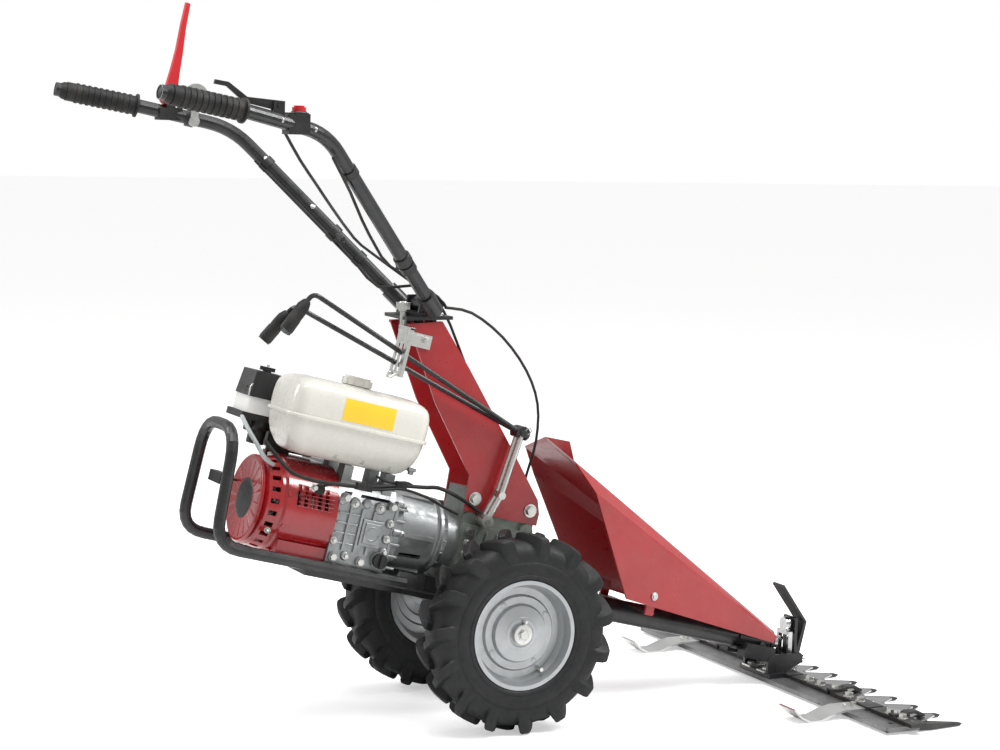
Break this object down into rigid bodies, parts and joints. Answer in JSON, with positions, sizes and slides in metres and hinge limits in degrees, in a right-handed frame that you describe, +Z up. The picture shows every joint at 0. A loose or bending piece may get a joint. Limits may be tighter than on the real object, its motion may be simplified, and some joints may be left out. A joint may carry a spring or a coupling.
{
  "type": "brush mower",
  "caption": "Walk-behind brush mower: front sickle bar with double fingers, two lugged wheels, petrol engine at the rear, folded red hood, swivelling handlebar",
  "frame": {"origin": "On the ground under the middle of the machine's bounding box", "axes": "+X the mowing direction, +Y the operator's left when walking behind, +Z up"},
  "size_m": [1.6919, 1.0604, 1.4408],
  "materials": {
    "gearbox_case": "painted casting, greenish grey",
    "gearbox_cover": "painted casting, greenish grey",
    "axle_housings": "painted casting, greenish grey",
    "clutch_housing": "die-cast aluminium",
    "crankcase": "die-cast aluminium",
    "cylinder_head": "die-cast aluminium",
    "fan_cover": "moulded, gloss red",
    "starter_cover": "moulded, gloss red",
    "fuel_tank": "moulded cream plastic",
    "air_cleaner": "moulded cream plastic",
    "air_cleaner_cover": "moulded black plastic",
    "carburetor": "moulded black plastic",
    "muffler": "aluminised sheet with louvred guard",
    "spark_plug": "moulded black plastic",
    "engine_plate": "black satin paint",
    "bumper": "black satin paint",
    "column_plate_right": "red powder coat",
    "column_plate_left": "red powder coat",
    "column_head": "black satin paint",
    "frame_bolts": "zinc plated",
    "drive_tube": "black satin paint",
    "hood_right": "red powder coat",
    "hood_left": "red powder coat",
    "gate_bracket": "zinc plated",
    "lower_cables": "black rubber",
    "axle_shaft": "machined steel",
    "worm_wheel": "bronze",
    "rims": "silver paint",
    "tyres": "moulded rubber",
    "wheel_pins": "zinc plated",
    "crankshaft": "machined steel",
    "flywheel": "machined steel",
    "drive_shaft": "machined steel",
    "bar_bracket": "black satin paint",
    "cutter_bar": "black paint, scuffed",
    "guard_fingers": "black paint, scuffed",
    "knife_clips": "black paint, scuffed",
    "skids": "zinc plated, scratched",
    "bar_bolts": "zinc plated",
    "grass_divider": "black paint, scuffed",
    "knife": "ground steel",
    "drive_lever": "machined steel",
    "turret": "black satin paint",
    "handle_yoke": "black satin paint",
    "handlebar_left": "black satin paint",
    "handlebar_right": "black satin paint",
    "grips": "black rubber",
    "control_mounts": "moulded black plastic",
    "upper_cables": "black rubber",
    "clutch_lever": "moulded red plastic",
    "hand_lever": "moulded black plastic",
    "throttle_lever": "zinc plated",
    "stop_button": "moulded red plastic",
    "gear_rod_right": "black, plastic knobs",
    "gear_rod_left": "black, plastic knobs",
    "selector_right": "zinc plated",
    "selector_left": "zinc plated",
    "fuel_cap": "moulded cream plastic",
    "oil_plug": "moulded black plastic",
    "starter_handle": "moulded black plastic"
  },
  "bodies": {
    "chassis": {"gearbox_case": "gearbox_case", "gearbox_cover": "gearbox_cover", "axle_housings": "axle_housings", "clutch_housing": "clutch_housing", "crankcase": "crankcase", "cylinder_head": "cylinder_head", "fan_cover": "fan_cover", "starter_cover": "starter_cover", "fuel_tank": "fuel_tank", "air_cleaner": "air_cleaner", "air_cleaner_cover": "air_cleaner_cover", "carburetor": "carburetor", "muffler": "muffler", "spark_plug": "spark_plug", "engine_plate": "engine_plate", "bumper": "bumper", "column_plate_right": "column_plate_right", "column_plate_left": "column_plate_left", "column_head": "column_head", "frame_bolts": "frame_bolts", "drive_tube": "drive_tube", "hood_right": "hood_right", "hood_left": "hood_left", "gate_bracket": "gate_bracket", "lower_cables": "lower_cables"},
    "axle": {"axle_shaft": "axle_shaft", "worm_wheel": "worm_wheel", "rims": "rims", "tyres": "tyres", "wheel_pins": "wheel_pins"},
    "crank": {"crankshaft": "crankshaft", "flywheel": "flywheel"},
    "pto": {"drive_shaft": "drive_shaft"},
    "cutter_bar": {"bar_bracket": "bar_bracket", "cutter_bar": "cutter_bar", "guard_fingers": "guard_fingers", "knife_clips": "knife_clips", "skids": "skids", "bar_bolts": "bar_bolts", "grass_divider": "grass_divider"},
    "knife": {"knife": "knife"},
    "drive_lever": {"drive_lever": "drive_lever"},
    "turret": {"turret": "turret"},
    "handlebar": {"handle_yoke": "handle_yoke", "handlebar_left": "handlebar_left", "handlebar_right": "handlebar_right", "grips": "grips", "control_mounts": "control_mounts", "upper_cables": "upper_cables"},
    "clutch_lever": {"clutch_lever": "clutch_lever"},
    "hand_lever": {"hand_lever": "hand_lever"},
    "throttle_lever": {"throttle_lever": "throttle_lever"},
    "stop_button": {"stop_button": "stop_button"},
    "gear_rod_right": {"gear_rod_right": "gear_rod_right"},
    "gear_rod_left": {"gear_rod_left": "gear_rod_left"},
    "selector_right": {"selector_right": "selector_right"},
    "selector_left": {"selector_left": "selector_left"},
    "fuel_cap": {"fuel_cap": "fuel_cap"},
    "oil_plug": {"oil_plug": "oil_plug"},
    "starter_handle": {"starter_handle": "starter_handle"}
  },
  "joints": [
    {"name": "axle_spin", "type": "hinge", "parent": "chassis", "child": "axle", "pos_m": [-0.04604, 0, 0.203], "axis": [0, 1, 0], "continuous": true},
    {"name": "engine_spin", "type": "hinge", "parent": "chassis", "child": "crank", "pos_m": [-0.39259, 0, 0.42713], "axis": [0.9711, 0, -0.2385], "continuous": true},
    {"name": "drive_spin", "type": "hinge", "parent": "chassis", "child": "pto", "pos_m": [0.35672, 0, 0.16586], "axis": [0.9711, 0, -0.2385], "continuous": true},
    {"name": "bar_roll", "type": "hinge", "parent": "chassis", "child": "cutter_bar", "pos_m": [0.63835, 0, 0.09668], "axis": [0.9711, 0, -0.2385], "range_deg": [-5, 5]},
    {"name": "knife_slide", "type": "slide", "parent": "cutter_bar", "child": "knife", "axis": [0, 1, 0], "range_m": [-0.025, 0.025]},
    {"name": "lever_swing", "type": "hinge", "parent": "cutter_bar", "child": "drive_lever", "pos_m": [0.72696, 0, 0.122], "axis": [1, 0, 0], "range_deg": [-16.5, 16.5]},
    {"name": "turret_swivel", "type": "hinge", "parent": "chassis", "child": "turret", "pos_m": [-0.18104, 0, 0.824], "axis": [0, 0, 1], "range_deg": [-15, 15]},
    {"name": "handlebar_tilt", "type": "hinge", "parent": "turret", "child": "handlebar", "pos_m": [-0.17404, 0, 0.846], "axis": [0, 1, 0], "range_deg": [-12, 12]},
    {"name": "clutch_lever_hinge", "type": "hinge", "parent": "handlebar", "child": "clutch_lever", "pos_m": [-0.61636, 0.29748, 1.2478], "axis": [0, 1, 0], "range_deg": [-65, 0], "stiffness_Nm_per_rad": 1.2, "springref_deg": 51.57},
    {"name": "hand_lever_hinge", "type": "hinge", "parent": "handlebar", "child": "hand_lever", "pos_m": [-0.60422, -0.29366, 1.24014], "axis": [0, 1, 0], "range_deg": [-4.5, 0], "stiffness_Nm_per_rad": 1, "springref_deg": 17.19},
    {"name": "throttle_hinge", "type": "hinge", "parent": "handlebar", "child": "throttle_lever", "pos_m": [-0.57621, 0.26085, 1.201], "axis": [0, 1, 0], "range_deg": [-30, 30]},
    {"name": "stop_button_press", "type": "slide", "parent": "handlebar", "child": "stop_button", "axis": [0, 0, -1], "range_m": [0, 0.003], "stiffness_N_per_m": 900, "springref_m": -0.002},
    {"name": "gear_rod_right_slide", "type": "slide", "parent": "chassis", "child": "gear_rod_right", "axis": [-0.9184, 0, 0.3957], "range_m": [-0.022, 0.022]},
    {"name": "gear_rod_left_slide", "type": "slide", "parent": "chassis", "child": "gear_rod_left", "axis": [-0.9184, 0, 0.3957], "range_m": [-0.022, 0.022]},
    {"name": "selector_right_hinge", "type": "hinge", "parent": "chassis", "child": "selector_right", "pos_m": [-0.0578, -0.084, 0.40668], "axis": [0, 1, 0], "range_deg": [-7, 7]},
    {"name": "selector_left_hinge", "type": "hinge", "parent": "chassis", "child": "selector_left", "pos_m": [-0.0578, -0.0655, 0.40668], "axis": [0, 1, 0], "range_deg": [-7, 7]},
    {"name": "fuel_cap_turn", "type": "hinge", "parent": "chassis", "child": "fuel_cap", "pos_m": [-0.32404, -0.022, 0.68523], "axis": [0.2385, 0, 0.9711], "range_deg": [0, 90]},
    {"name": "oil_plug_turn", "type": "hinge", "parent": "chassis", "child": "oil_plug", "pos_m": [-0.30031, -0.104, 0.34165], "axis": [0, 1, 0], "range_deg": [-90, 0]},
    {"name": "starter_pull", "type": "slide", "parent": "chassis", "child": "starter_handle", "axis": [-0.9711, 0, 0.2385], "range_m": [0, 0.05], "stiffness_N_per_m": 120, "springref_m": -0.02}
  ],
  "couplings": [
    {"joint": "drive_spin", "follows": "engine_spin", "ratio": -1},
    {"joint": "lever_swing", "follows": "knife_slide", "rad_per_m": 11.11},
    {"joint": "selector_right_hinge", "follows": "gear_rod_right_slide", "rad_per_m": -5.1636},
    {"joint": "selector_left_hinge", "follows": "gear_rod_left_slide", "rad_per_m": -5.1636}
  ]
}
